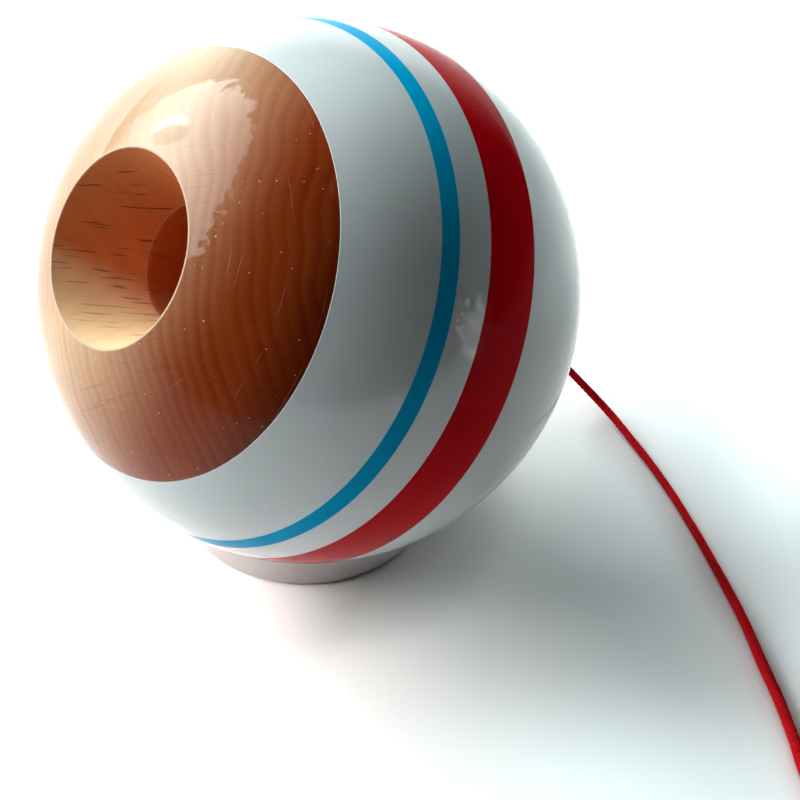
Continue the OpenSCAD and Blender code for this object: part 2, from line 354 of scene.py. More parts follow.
given = add(braid, "NodeGroupInput").outputs
curve = out(braid, "GeometryNodeMeshToCurve", {0: given["Path"]})
repeat = {"Geometry": curve, "Amount": given["Threads"]}
copies = add(braid, "GeometryNodeDuplicateElements", repeat, domain="SPLINE")
number = copies.outputs["Duplicate Index"]
odd = calc(braid, "MODULO", number, 2.0)
hand = scaled(braid, odd, -2.0, 1.0)
far = add(braid, "GeometryNodeSplineParameter").outputs["Length"]
turn = times(braid, calc(braid, "DIVIDE", far, given["Lay"]), 2 * math.pi)
share = calc(braid, "DIVIDE", calc(braid, "SUBTRACT", number, odd), given["Threads"])
first_angle = times(braid, share, 2 * math.pi)
angle = scaled(braid, turn, hand, first_angle)
crossings = times(braid, given["Threads"], 0.5)
over = calc(braid, "COSINE", times(braid, turn, crossings))
lift = times(braid, times(braid, over, hand), given["Weave"])
loosening = {"Value": far, "From Min": 35 * MM, "From Max": 85 * MM, "To Min": 0.78, "To Max": 1.12}
slack = out(braid, "ShaderNodeMapRange", loosening, interpolation_type="SMOOTHSTEP")
radius = times(braid, calc(braid, "ADD", given["Middle radius"], lift), slack)
normal = out(braid, "GeometryNodeInputNormal")
ahead = out(braid, "GeometryNodeInputTangent")
side = vector(braid, "CROSS_PRODUCT", {0: ahead, 1: normal})
out_by = times(braid, radius, calc(braid, "COSINE", angle))
side_by = times(braid, radius, calc(braid, "SINE", angle))
out_step = vector(braid, "SCALE", {0: normal, "Scale": out_by})
side_step = vector(braid, "SCALE", {0: side, "Scale": side_by})
step = vector(braid, "ADD", {0: out_step, 1: side_step})
shift = {"Geometry": copies.outputs["Geometry"], "Offset": step}
wound = out(braid, "GeometryNodeSetPosition", shift)
circle = {"Resolution": 4, "Radius": given["Thread radius"]}
profile = out(braid, "GeometryNodeCurvePrimitiveCircle", circle)
sweep = {"Curve": wound, "Profile Curve": profile, "Scale": slack, "Fill Caps": True}
threads = out(braid, "GeometryNodeCurveToMesh", sweep)
soft = out(braid, "GeometryNodeSetShadeSmooth", {0: threads})
whole = out(braid, "GeometryNodeRealizeInstances", {0: soft})
finished = {"Geometry": whole, "Material": given["Finish"]}
add(braid, "NodeGroupOutput", {0: out(braid, "GeometryNodeSetMaterial", finished)})
print("braid tree", len(braid.nodes), "nodes")

# %% [markdown]
# ## Braided cord
# The tree works on a bare path and the result becomes a plain mesh. It doesn't show in reflections.

# %% Braided cord
def solid_from(name, host):
    graph = bpy.context.evaluated_depsgraph_get()
    shape = bpy.data.meshes.new_from_object(host.evaluated_get(graph))
    bpy.data.objects.remove(host)
    shape.name = name
    return placed(name, shape)


def braided(name, path, closed=False):
    links = [(i, i + 1) for i in range(len(path) - 1)]
    if closed:
        links.append((len(path) - 1, 0))
    host = placed(name + "_path", shaped(name, [tuple(p) for p in path], links, []))
    modifier = host.modifiers.new("braid", "NODES")
    modifier.node_group = braid
    modifier[sockets["Finish"]] = cord_finish
    made = solid_from(name, host)
    print(name, len(made.data.polygons), "faces")
    return made


cord = braided("red_cord", cord_path)
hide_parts("cord_run", "cord_coil", "cord_drop")
cord.visible_glossy = False
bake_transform(cord)

# %% [markdown]
# ## Knots
# A knot is a short pretzel of the same cord. A three-looped curve gives its shape, small enough for the
# bead's pocket and for the recess in the ken. The cord inside the ball is a straight stretch of the braid.

# %% Knots and the cord inside the ball
turn_of_ball = Matrix.Rotation(math.atan2(bore_way.y, bore_way.x), 4, "Z")
lean_of_ball = Matrix.Rotation(math.acos(bore_way.z), 4, "Y")
ball_frame = Matrix.Translation(ball_mid) @ turn_of_ball @ lean_of_ball
lying = about("X", -90)
bead_low, bead_len, bead_d = -7.87, 7.0, 9.6
knot_low, knot_len, knot_d = -0.77, 3.2, 3.8
knot_points = 120


def knot_path(place):
    wide = (knot_d - cord_d) / 2 / 3
    high = (knot_len - cord_d) / 2
    path = []
    for k in range(knot_points):
        t = 2 * math.pi * k / knot_points
        x = (math.sin(t) + 2 * math.sin(2 * t)) * wide
        y = (math.cos(t) - 2 * math.cos(2 * t)) * wide
        z = -math.sin(3 * t) * high + knot_len / 2
        path.append(place @ mm(x, y, z))
    return path


bead_knot_place = ball_frame @ Matrix.Translation((0, 0, knot_low * MM))
bead_knot = braided("bead_knot_tied", knot_path(bead_knot_place), closed=True)
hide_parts("bead_knot")
inner_ends = [ball_frame @ Vector((0, 0, z * MM)) for z in (-ball_r, knot_low + 1)]
inner_path, inner_length = evenly(inner_ends)
inner_cord = braided("cord_in_ball_braid", inner_path)
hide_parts("cord_in_ball")
ken_knot_place = Matrix.Translation(ken_foot + mm(0, knot_y, hole_z)) @ lying
ken_knot = braided("ken_knot_tied", knot_path(ken_knot_place), closed=True)
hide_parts("ken_knot")
for made, body in ((bead_knot, "cord_end"), (inner_cord, "cord_end"), (ken_knot, "ken_and_ring")):
    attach(made, body)
print("cord inside the ball", round(inner_length, 4), "m")

# %% [markdown]
# ## Turning
# The ball, its coats, the bead, the ken, the crosspiece and the ring are all turned on a lathe. So one
# helper turns an outline of radius and height round an axis, and keeps edges over 30 degrees sharp. Other
# helpers draw arcs and round corners.

# %% Lathe
sharp_edge = math.radians(30)
on_axis = 1e-6


def turned(name, outline, place, finishes, steps, bands=None):
    spots, rings = [], []
    for radius, height in outline:
        first = len(spots)
        if radius < on_axis:
            spots.append(place @ Vector((0, 0, height * MM)))
            rings.append([first] * steps)
        else:
            for k in range(steps):
                angle = 2 * math.pi * k / steps
                spot = mm(radius * math.cos(angle), radius * math.sin(angle), height)
                spots.append(place @ spot)
            rings.append(list(range(first, first + steps)))
    around = len(outline) if outline[0][0] > on_axis else len(outline) - 1
    faces, finish_of = [], []
    for i in range(around):
        low, high = rings[i], rings[(i + 1) % len(rings)]
        for k in range(steps):
            n = (k + 1) % steps
            faces.append(list(dict.fromkeys((low[k], low[n], high[n], high[k]))))
            finish_of.append(bands[i] if bands else 0)
    shape = shaped(name, spots, [], faces, *finishes)
    shape.polygons.foreach_set("material_index", finish_of)
    shape.shade_smooth()
    made = placed(name, shape)
    face_out(made)
    print(name, len(faces), "faces")
    return made


def face_out(made):
    work = bmesh.new()
    work.from_mesh(made.data)
    bmesh.ops.recalc_face_normals(work, faces=work.faces)
    work.to_mesh(made.data)
    work.free()
    made.data.set_sharp_from_angle(angle=sharp_edge)


def arc(middle, radius, start, end, steps):
    return [(radius * math.sin(math.radians(a)), middle + radius * math.cos(math.radians(a)))
            for a in np.linspace(start, end, steps)]


def corner(before, at, after, size, steps=5):
    before, at, after = (np.array(p, float) for p in (before, at, after))
    a = at + (before - at) / np.linalg.norm(before - at) * size
    b = at + (after - at) / np.linalg.norm(after - at) * size
    return [tuple((1 - u) ** 2 * a + 2 * u * (1 - u) * at + u * u * b) for u in np.linspace(0, 1, steps)]


def round_foot(radius, size):
    return [(radius - size + size * math.sin(a), size - size * math.cos(a))
            for a in np.linspace(0, math.pi / 2, 8)]


print("lathe ready")

# %% [markdown]
# ## Beech
# Beech has growth rings, short dark ray flecks that run with the grain, and fine fibres. All three are made
# as a solid pattern in the wood's own directions, so that the same tree gives end grain on the ball's face
# and flecks in the wall of its bore. The rings go round a pith that lies outside the piece.

# %% Beech pattern
def beech(tree, place, ring_gap=1.35, pith=90.0):
    point = point_in(tree, place)
    drift = noise(tree, stretched(tree, point, 1, 1, 0.25), 0.055)
    split = parts(tree, point)
    outward = calc(tree, "ADD", split[0], pith)
    outward_squared = times(tree, outward, outward)
    sideways_squared = times(tree, split[1], split[1])
    across = calc(tree, "SQRT", calc(tree, "ADD", outward_squared, sideways_squared))
    wander = times(tree, drift, 6.0)
    year = calc(tree, "DIVIDE", calc(tree, "ADD", across, wander), ring_gap)
    part = calc(tree, "FRACT", year)
    late = calc(tree, "SUBTRACT", rise(tree, part, 0.05, 0.7), rise(tree, part, 0.72, 1.0))
    depth = scaled(tree, by_number(tree, year), 0.7, 0.35)
    rings = times(tree, late, depth)
    moved = vector(tree, "ADD", {0: point, 1: (0.0, 2.3, 0.0)})
    spindles = noise(tree, stretched(tree, moved, 0.075, 3.2, 0.2), 1.0, detail=1.0)
    flecks = rise(tree, spindles, 0.64, 0.72)
    fibres = noise(tree, stretched(tree, point, 5.0, 5.0, 0.16), 1.0, detail=3.0, rough=0.65)
    cloud = noise(tree, stretched(tree, point, 1, 1, 0.4), 0.09, detail=3.0)
    return {"rings": rings, "flecks": flecks, "fibres": fibres, "cloud": cloud}


def beech_colour(tree, grain, pale, deep, fleck, ring_share=0.75, fleck_share=0.6):
    clouds = scaled(tree, grain["cloud"], 0.9, -0.32)
    tone = scaled(tree, grain["rings"], ring_share, clouds)
    tone = calc(tree, "ADD", tone, scaled(tree, grain["fibres"], 0.5, -0.25))
    colour = mixed(tree, tone, pale, deep)
    return mixed(tree, times(tree, grain["flecks"], fleck_share), colour, fleck)


print("beech ready")

# %% [markdown]
# ## Face of the ball
# The bare face is pale sapwood at the upper left and deep red heartwood at the lower right, and the colour
# changes along one direction between them. The sapwood carries a painted highlight: it is paler at the top.
# It is darker at its far left, and the heartwood darkens to the right.

# %% Lacquered beech
grain_frame = ball_frame @ about("Z", 135)
face_finish, tree, shader = new_finish("lacquered_beech")
grain = beech(tree, grain_frame)
point = point_in(tree, grain_frame)
heart_way = grain_frame.to_3x3().transposed() @ Vector((0.907, -0.309, -0.286))
along = measure(tree, "DOT_PRODUCT", point, tuple(heart_way))
sap = beech_colour(tree, grain, pale=(0.67, 0.42, 0.25), deep=(0.46, 0.21, 0.09),
                   fleck=(0.22, 0.04, 0.01), ring_share=0.35, fleck_share=0.2)
heart = beech_colour(tree, grain, pale=(0.30, 0.047, 0.008), deep=(0.185, 0.019, 0.003),
                     fleck=(0.14, 0.02, 0.005), ring_share=0.5, fleck_share=0.2)
# Painted highlight: the sapwood is paler high above the table, at the top of the face.
painted_highlight_height = parts(tree, point_in(tree, world_frame))[2]
top = times(tree, rise(tree, painted_highlight_height, 40.0, 58.0), rise(tree, along, -12.0, -19.0))
sap = mixed(tree, times(tree, top, 0.55), sap, (0.80, 0.62, 0.46))
sap = mixed(tree, rise(tree, along, -20.0, -27.0), sap, (0.72, 0.60, 0.50), "MULTIPLY")
heart = mixed(tree, rise(tree, along, -2.0, 5.0), heart, (0.5, 0.4, 0.3), "MULTIPLY")
colour = mixed(tree, rise(tree, along, -23.0, -4.0), sap, heart)
print(face_finish.name, len(tree.nodes), "nodes so far")

# %% [markdown]
# ## Marks on the face
# The lathe left faint pale rings on the face, and fine dust lies in its clear lacquer. A sheen pales the
# face towards its rim, where the photograph's wood melts into the bright background.

# %% Turning marks, dust and lacquer
pale_mark = (0.85, 0.66, 0.55)
far_up = parts(tree, point_in(tree, ball_frame))[2]
wavy = scaled(tree, noise(tree, point, 0.06), 2.4, far_up)
mark = times(tree, wavy, 1.6)
chosen = calc(tree, "GREATER_THAN", by_number(tree, mark), 0.55)
line = times(tree, calc(tree, "LESS_THAN", calc(tree, "FRACT", mark), 0.11), chosen)
faint = times(tree, rise(tree, noise(tree, point, 0.22), 0.48, 0.62), 0.1)
colour = mixed(tree, times(tree, line, faint), colour, pale_mark)
cells = add(tree, "ShaderNodeTexVoronoi", {"Vector": point, "Scale": 1.4}).outputs
dust_size = scaled(tree, parts(tree, cells["Color"])[0], 0.5, -0.36)
dust = calc(tree, "LESS_THAN", cells["Distance"], dust_size)
colour = mixed(tree, times(tree, dust, 0.7), colour, pale_mark)
peel = noise(tree, point_in(tree, world_frame), 0.5)
wire(tree, shader, Base_Color=colour, Roughness=0.42, Specular_IOR_Level=0.0, Sheen_Weight=0.4,
     Sheen_Roughness=0.25, Coat_Weight=1.0, Coat_Roughness=0.035, Coat_IOR=1.25,
     Normal=raised(tree, grain["fibres"], strength=0.12, distance=0.05),
     Coat_Normal=raised(tree, peel, strength=0.05, distance=0.3))
print(face_finish.name, len(tree.nodes), "nodes")

# %% [markdown]
# ## Bore of the ball
# Raw wood inside the bore has no lacquer. Its light and shade are painted: the mouth's lower wall, which
# faces up to the light, is painted paler as lit wood, the rest darker as shaded wood, and the drilled part
# behind the taper darker still as painted shade. The turned edges of the mouth are pale.

# %% Raw beech and the pale edge
raw_finish, tree, shader = new_finish("raw_beech")
grain = beech(tree, grain_frame)
down, _, up_bore = parts(tree, point_in(tree, ball_frame))
# Painted light and shade: a lit copy of the raw beech for the lower wall, a shaded copy for the upper wall.
painted_lit_wall = beech_colour(tree, grain, pale=(0.82, 0.57, 0.31), deep=(0.66, 0.37, 0.16),
                          fleck=(0.2, 0.06, 0.02), ring_share=0.2, fleck_share=0.45)
painted_shaded_wall = beech_colour(tree, grain, pale=(0.60, 0.19, 0.055), deep=(0.40, 0.10, 0.024),
                          fleck=(0.10, 0.02, 0.006), ring_share=0.2, fleck_share=0.85)
painted_shaded_wall = mixed(tree, rise(tree, down, -4.0, 3.0), painted_shaded_wall, (1.15, 1.15, 1.15), "MULTIPLY")
colour = mixed(tree, rise(tree, down, 4.8, 8.0), painted_shaded_wall, painted_lit_wall)
# Painted shade deep in the drilled part behind the taper.
painted_deep_shade = mixed(tree, 0.55, colour, (0.38, 0.08, 0.014))
colour = mixed(tree, rise(tree, up_bore, 17.0, 18.5), painted_deep_shade, colour)
wire(tree, shader, Base_Color=colour, Roughness=0.72, Specular_IOR_Level=0.3,
     Normal=raised(tree, grain["fibres"], strength=0.4, distance=0.1))

edge_finish, tree, shader = new_finish("edge_beech")
grain = beech(tree, grain_frame)
colour = beech_colour(tree, grain, pale=(0.62, 0.42, 0.29), deep=(0.54, 0.33, 0.20),
                      fleck=(0.4, 0.2, 0.1), ring_share=0.2, fleck_share=0.3)
wire(tree, shader, Base_Color=colour, Roughness=0.5, Specular_IOR_Level=0.2)
print(raw_finish.name, edge_finish.name)

# %% [markdown]
# ## Ball
# The ball is one turned piece of beech: a sphere with a tapered mouth, a straight bore, a pocket for the
# bead and a thin hole for the cord. Its outline is drawn once round and turned about the bore.

# %% Ball
FACE, RAW, EDGE = 0, 1, 2
ball_steps = 224
mouth_r, taper_len, bore_r, bore_len, pocket_r, pocket_len = 10.7, 10.0, 6.6, 14.0, 5.4, 12.0
coat_t, stripe_t, wood_edge, cord_hole_r = 0.3, 0.15, 18.7, 1.0
mouth_at = math.sqrt(ball_r ** 2 - mouth_r ** 2)
taper_end = mouth_at - taper_len
bore_end = taper_end - bore_len
pocket_end = bore_end - pocket_len
coat_r = ball_r - coat_t
coat_end = -math.sqrt(coat_r ** 2 - cord_hole_r ** 2)


def round_part(radius, high, low, steps):
    start, end = (math.degrees(math.acos(z / radius)) for z in (high, low))
    return arc(0, radius, start, end, steps)


on_face = (mouth_r + 0.934, mouth_at - 0.357)
mouth_edge = corner((bore_r, taper_end), (mouth_r, mouth_at), on_face, 0.16)
face = round_part(ball_r, mouth_edge[-1][1] - 0.02, wood_edge, 40)
under = round_part(coat_r, wood_edge, coat_end, 60)
inside = [(cord_hole_r, pocket_end), (pocket_r, pocket_end), (pocket_r, bore_end), (bore_r, bore_end)]
wall = [(bore_r, z) for z in np.linspace(bore_end, taper_end, 12)[1:-1]]
inner_edge = corner((bore_r, bore_end), (bore_r, taper_end), (mouth_r, mouth_at), 0.1)
outline = mouth_edge + face + under + inside + wall + inner_edge
bands = [EDGE] * len(mouth_edge) + [FACE] * len(face)
bands += [RAW] * (len(under) + len(inside) + len(wall)) + [EDGE] * (len(inner_edge) - 1) + [RAW]
ball = turned("ball_beech", outline, ball_frame, [face_finish, raw_finish, edge_finish], ball_steps, bands)
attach(ball, "ball")
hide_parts("ball_core")

# %% [markdown]
# ## Lacquer
# The white coat and the two stripes are gloss lacquer: a coloured base with a few specks of dust, under a
# clear, very smooth coat with a faint waviness. The clear coat's index of refraction is lower than a real
# lacquer's, so that the colours stay deep.

# %% Lacquer finishes
def lacquer(name, colour, shade, ior):
    finish, tree, shader = new_finish(name)
    point = point_in(tree, ball_frame)
    cloud = noise(tree, point, 0.12, detail=3.0)
    cells = add(tree, "ShaderNodeTexVoronoi", {"Vector": point, "Scale": 0.42}).outputs
    near = calc(tree, "LESS_THAN", cells["Distance"], 0.05)
    some = calc(tree, "GREATER_THAN", parts(tree, cells["Color"])[0], 0.72)
    speck = times(tree, times(tree, near, some), 0.45)
    tone = mixed(tree, rise(tree, cloud, 0.3, 0.7), colour, shade)
    tone = mixed(tree, speck, tone, (0.25, 0.23, 0.2))
    peel = noise(tree, point, 0.45)
    gloss = between(tree, noise(tree, point, 0.2, detail=3.0), 0.25, 0.4)
    wire(tree, shader, Base_Color=tone, Roughness=gloss, Specular_IOR_Level=0.0, Coat_Weight=1.0,
         Coat_Roughness=0.02, Coat_IOR=ior, Coat_Normal=raised(tree, peel, strength=0.06, distance=0.3))
    return finish


white_finish = lacquer("white_lacquer", (0.70, 0.725, 0.73), (0.67, 0.70, 0.71), ior=1.34)
blue_finish = lacquer("blue_paint", (0.0, 0.42, 0.77), (0.0, 0.39, 0.73), ior=1.06)
red_finish = lacquer("red_paint", (0.64, 0.002, 0.009), (0.59, 0.001, 0.007), ior=1.065)
print(white_finish.name, blue_finish.name, red_finish.name)

# %% [markdown]
# ## Coats of the ball
# The white coat is a thin shell with two shallow grooves, and each stripe is a thin band in its groove.

# %% Coats of the ball
blue_mid, blue_half = 8, 1.05
red_mid, red_half = -0.5, 3.45
blue_low, blue_high = blue_mid - blue_half, blue_mid + blue_half
red_low, red_high = red_mid - red_half, red_mid + red_half
skin_r = ball_r - stripe_t
cord_at = -math.sqrt(ball_r ** 2 - cord_hole_r ** 2)


def stripe(name, high, low, steps, finish):
    outline = round_part(ball_r, high, low, steps) + round_part(skin_r, low, high, steps)
    return turned(name, outline, ball_frame, [finish], ball_steps)


top = round_part(ball_r, wood_edge - 0.1, wood_edge - 0.2, 2)
coat = [(math.sqrt(radius ** 2 - wood_edge ** 2), wood_edge) for radius in (coat_r, ball_r)]
coat += corner(coat[-1], (top[0][0] - 0.02, wood_edge - 0.02), top[1], 0.04, 3)
coat += round_part(ball_r, wood_edge - 1.0, blue_high, 24) + round_part(skin_r, blue_high, blue_low, 6)
coat += round_part(ball_r, blue_low, red_high, 16) + round_part(skin_r, red_high, red_low, 12)
coat += round_part(ball_r, red_low, cord_at, 70)
coat += round_part(coat_r, coat_end, wood_edge - 0.01, 60)
white = turned("white_coat", coat, ball_frame, [white_finish], ball_steps)
blue = stripe("blue_band", blue_high, blue_low, 8, blue_finish)
red = stripe("red_band", red_high, red_low, 20, red_finish)
for made, node, slot in ((white, "white_lacquer", "white_lacquer"), (blue, "blue_stripe", "blue_paint"),
                         (red, "red_stripe", "red_paint")):
    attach(made, "ball")
    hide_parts(node)

# %% [markdown]
# ## Ring under the ball
# A small off-white ring keeps the ball from rolling. It is a plain satin moulding with soft edges. Its top
# is dished to the ball, so that only a thin dark line shows between the two.

# %% Ring
ring_finish, tree, shader = new_finish("ring_plastic")
point = point_in(tree, Matrix.Translation(ball_foot))
cloud = noise(tree, point, 0.25, detail=3.0)
fine = noise(tree, point, 6.0)
colour = mixed(tree, rise(tree, cloud, 0.3, 0.7), (0.88, 0.79, 0.76), (0.82, 0.73, 0.70))
wire(tree, shader, Base_Color=colour, Roughness=between(tree, cloud, 0.3, 0.5),
     Normal=raised(tree, fine, strength=0.08, distance=0.05))

ring_r, ring_wall, ring_round, seat_gap, rim_round = 14.8, 2.6, 0.8, 0.12, 0.35
ring_in = ring_r - ring_wall
dish_start = ring_r - 0.5


def dish(radius):
    return ball_mid.z / MM - math.sqrt((ball_r + seat_gap) ** 2 - radius ** 2)


outline = [(ring_in + 0.2, 0)] + round_foot(ring_r, ring_round)
outline += corner((ring_r, 1), (ring_r, dish(ring_r)), (dish_start, dish(dish_start)), rim_round)
outline += [(r, dish(r)) for r in np.linspace(dish_start, ring_in + 0.1, 8)]
outline += [(ring_in, dish(ring_in) - 0.1), (ring_in, 0.2)]
rest = turned("rest_ring_moulded", outline, Matrix.Translation(ball_foot), [ring_finish], 160)
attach(rest, "ken_and_ring")
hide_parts("rest_ring")

# %% [markdown]
# ## Bead
# Inside the ball a small wooden bead holds the cord, so that the ball can turn without twisting it.

# %% Bead
bead_finish, tree, shader = new_finish("bead_wood")
bead_grain = ball_frame @ about("Z", 40)
grain = beech(tree, bead_grain, ring_gap=1.2, pith=20.0)
colour = beech_colour(tree, grain, pale=(0.62, 0.38, 0.2), deep=(0.42, 0.21, 0.09), fleck=(0.2, 0.08, 0.03))
wire(tree, shader, Base_Color=colour, Roughness=0.6,
     Normal=raised(tree, grain["fibres"], strength=0.3, distance=0.1))

half = bead_len / 2
hole_edge = cord_hole_r + 0.15
outline = [(hole_edge, 0)]
outline += [(bead_d / 2 - half + half * math.cos(a), half + half * math.sin(a))
            for a in np.linspace(-1.45, 1.45, 24)]
outline += [(hole_edge, bead_len), (cord_hole_r, bead_len - 0.2), (cord_hole_r, 0.2)]
bead_place = ball_frame @ Matrix.Translation((0, 0, bead_low * MM))
bead = turned("bead_turned", outline, bead_place, [bead_finish], 64)
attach(bead, "bead")
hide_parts("bead")

# %% [markdown]
# ## Wood of the ken
# The ken is the handle with a spike, and the crosspiece with its two cups slides over the spike. Both are
# turned beech with a satin lacquer.

# %% Finishes of the ken and the crosspiece
def ken_wood(name, place, ring_gap, pith):
    finish, tree, shader = new_finish(name)
    grain = beech(tree, place, ring_gap, pith)
    colour = beech_colour(tree, grain, pale=(0.60, 0.35, 0.175), deep=(0.40, 0.185, 0.075),
                          fleck=(0.24, 0.09, 0.035))
    gloss = between(tree, grain["cloud"], 0.36, 0.5)
    wire(tree, shader, Base_Color=colour, Roughness=gloss, Coat_Weight=0.35, Coat_Roughness=0.2,
         Normal=raised(tree, grain["fibres"], strength=0.2, distance=0.06))
    return finish


cross_at = ken_foot + mm(0, 0, 95.5)
cross_frame = Matrix.Translation(cross_at) @ about("X", 90)
ken_grain = Matrix.Translation(ken_foot) @ about("Z", 20)
cross_grain = cross_frame @ about("Z", 70)
ken_finish = ken_wood("ken_beech", ken_grain, ring_gap=1.9, pith=34.0)
cross_finish = ken_wood("crosspiece_beech", cross_grain, ring_gap=2.2, pith=26.0)
print(ken_finish.name, cross_finish.name)

# %% [markdown]
# ## Ken
# The photograph doesn't show the ken, so it follows the common shape: a base cup, a waisted handle, a
# collar for the crosspiece and a tapered spike. The cord's hole and the knot's recess are cut with
# booleans. The ken doesn't show in reflections, because it stands where the photograph shows a bare table.

# %% Ken
def s_curve(r1, z1, r2, z2, steps=24):
    return [(r2 + (r1 - r2) * (1 + math.cos(math.pi * k / steps)) / 2, z1 + (z2 - z1) * k / steps)
            for k in range(steps + 1)]


def bowl(rim_r, depth):
    radius = (rim_r ** 2 + depth ** 2) / (2 * depth)
    return arc(depth - radius, radius, 0, math.degrees(math.asin(rim_r / radius)), 24)


def cut(made, *cutters):
    for cutter in cutters:
        modifier = made.modifiers.new("cut", "BOOLEAN")
        modifier.operation = "DIFFERENCE"
        modifier.solver = "EXACT"
        modifier.object = cutter
    name = made.name
    made.name = name + "_blank"
    done = solid_from(name, made)
    for cutter in cutters:
        bpy.data.objects.remove(cutter)
    done.data.shade_smooth()
    face_out(done)
    return done


def rod(name, radius, low, high, place, finish):
    return turned(name, [(0, low), (radius, low), (radius, high), (0, high)], place, [finish], 64)


ken_steps = 128
rim, lip, edge_round = 1.5, 0.75, 0.3
base_r, base_depth, handle_r, spigot_r, spike_r, tip_r, recess_r = 17.5, 7.0, 7.5, 6.8, 6.2, 3.4, 2.3
seat_z, spike_z, tip_z, spigot_taper = 84.0, 111.0, 178.0, 0.75
cup_edge = base_r - rim
outline = bowl(cup_edge, base_depth)[:-1]
outline += corner((cup_edge - 0.5, 0.4), (cup_edge, 0), (base_r, 0), edge_round) + round_foot(base_r, lip)
outline += s_curve(base_r, 5.0, handle_r, 28.0) + s_curve(handle_r, 30.0, collar_r, 71.0, 32)
outline += corner((collar_r, 75), (collar_r, seat_z), (spigot_r, seat_z), 0.4)
outline += [(spigot_r, seat_z), (spigot_r, spike_z - spigot_taper), (spike_r, spike_z)]
slope = np.linspace(0, 1, 24)[1:]
outline += [(spike_r + (tip_r - spike_r) * u, spike_z + (tip_z - tip_r - spike_z) * u) for u in slope]
outline += arc(tip_z - tip_r, tip_r, 90, 0, 16)[1:]
hole_frame = Matrix.Translation(ken_foot + mm(0, 0, hole_z)) @ lying
blank = turned("ken_turned", outline, Matrix.Translation(ken_foot), [ken_finish], ken_steps)
hole = rod("hole", cord_hole_r, -12, 12, hole_frame, ken_finish)
recess = rod("recess", recess_r, knot_y, 12, hole_frame, ken_finish)
ken = cut(blank, hole, recess)
ken.visible_glossy = ken.visible_diffuse = False
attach(ken, "ken_and_ring")
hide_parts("ken")

# %% [markdown]
# ## Crosspiece
# The crosspiece has a big cup at one end and a small cup at the other. Its bore slides over the ken's
# spigot, and a wider seat at the bottom takes the collar.

# %% Crosspiece
half_cross, waist_r, cross_bore_r, cross_seat_r = 35.0, 13.2, 6.86, 9.9


def half_outline(cup_r, depth):
    hollow = [(r, half_cross - z) for r, z in bowl(cup_r - rim, depth)]
    rounded = [(cup_r - lip + lip * math.cos(a), half_cross - lip + lip * math.sin(a))
               for a in np.linspace(math.pi / 2, 0, 8)]
    inner = corner(hollow[-2], hollow[-1], rounded[0], edge_round)
    flank = s_curve(waist_r, 9.9, cup_r, half_cross - 4.0)[::-1]
    return hollow[:-1] + inner + rounded + flank


big_half = half_outline(21.5, 9.0)
small_half = [(r, -z) for r, z in half_outline(19.0, 8.0)][::-1]
cross_up = Matrix.Translation(cross_at)
blank = turned("crosspiece_turned", big_half + small_half, cross_frame, [cross_finish], ken_steps)
bore = rod("bore", cross_bore_r, -20, 20, cross_up, cross_finish)
seat = rod("seat", cross_seat_r, -24, -11.5, cross_up, cross_finish)
cross = cut(blank, bore, seat)
cross.visible_glossy = cross.visible_diffuse = False
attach(cross, "sarado")
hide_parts("sarado")

# %% [markdown]
# ## Tie of the coil
# A short band of undyed cotton tape holds the coil of spare cord. The tape goes once round all the turns,
# so it is a strip that follows a rounded rectangle.

# %% Tie
tie_finish, tree, shader = new_finish("cotton_tie")
tie_turn = about("Z", 135) @ about("X", 90)
tie_frame = Matrix.Translation(coil_mid) @ tie_turn
point = point_in(tree, tie_frame)
split = parts(tree, point)
warp = calc(tree, "SINE", times(tree, split[2], 18.0))
weft = calc(tree, "SINE", times(tree, calc(tree, "ADD", split[0], split[1]), 22.0))
weave = times(tree, warp, weft)
fuzz = noise(tree, point, 4.0)
colour = mixed(tree, rise(tree, weave, -1.0, 1.0), (0.64, 0.56, 0.44), (0.86, 0.79, 0.66))
colour = mixed(tree, rise(tree, fuzz, 0.4, 0.8), colour, (0.74, 0.67, 0.55))
wire(tree, shader, Base_Color=colour, Roughness=0.85, Sheen_Weight=0.3,
     Normal=raised(tree, weave, strength=0.5, distance=0.08))

tie_w, tie_t, tie_room = 2.4, 0.4, 0.15
tie_in = coil_r - coil_step * coil_turns / 2 - cord_r - tie_room
tie_out = coil_r + cord_r + tie_room
tie_low, tie_high = layers[0] - cord_r - tie_room, layers[1] + cord_r + tie_room


def band_loop(grow, round_r):
    loop = []
    for sign_x, sign_y, begin in ((1, 1, 0), (-1, 1, 90), (-1, -1, 180), (1, -1, 270)):
        x = tie_out if sign_x > 0 else tie_in
        y = tie_high if sign_y > 0 else tie_low
        middle = (x + sign_x * grow - sign_x * round_r, y + sign_y * grow - sign_y * round_r)
        for a in np.radians(np.linspace(begin, begin + 90, 8)):
            loop.append((middle[0] + round_r * math.cos(a), middle[1] + round_r * math.sin(a)))
    return loop


outer_loop, inner_loop = band_loop(tie_t, 0.7), band_loop(0, 0.3)
spots, faces = [], []
for z in (-tie_w / 2, tie_w / 2):
    for loop in (inner_loop, outer_loop):
        spots += [tie_frame @ mm(x, y, z) for x, y in loop]
count = len(outer_loop)
for k in range(count):
    n = (k + 1) % count
    for a, b in ((0, 1), (1, 3), (3, 2), (2, 0)):
        faces.append((a * count + k, a * count + n, b * count + n, b * count + k))
shape = shaped("tie_tape", spots, [], faces, tie_finish)
shape.shade_smooth()
tie = placed("tie_tape", shape)
face_out(tie)
tie.visible_glossy = False
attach(tie, "ken_and_ring")
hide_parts("coil_tie")
print("tie", len(faces), "faces")

# %% [markdown]
# ## Floor
# The toy stands on a plain white sheet that the photograph shows as pure white, with a soft grey shadow to
# the lower right. The floor has two colours. The first one is for light that bounces off it: it is darker
# in front, and it has a contact shade next to the object, but not on the lit side.

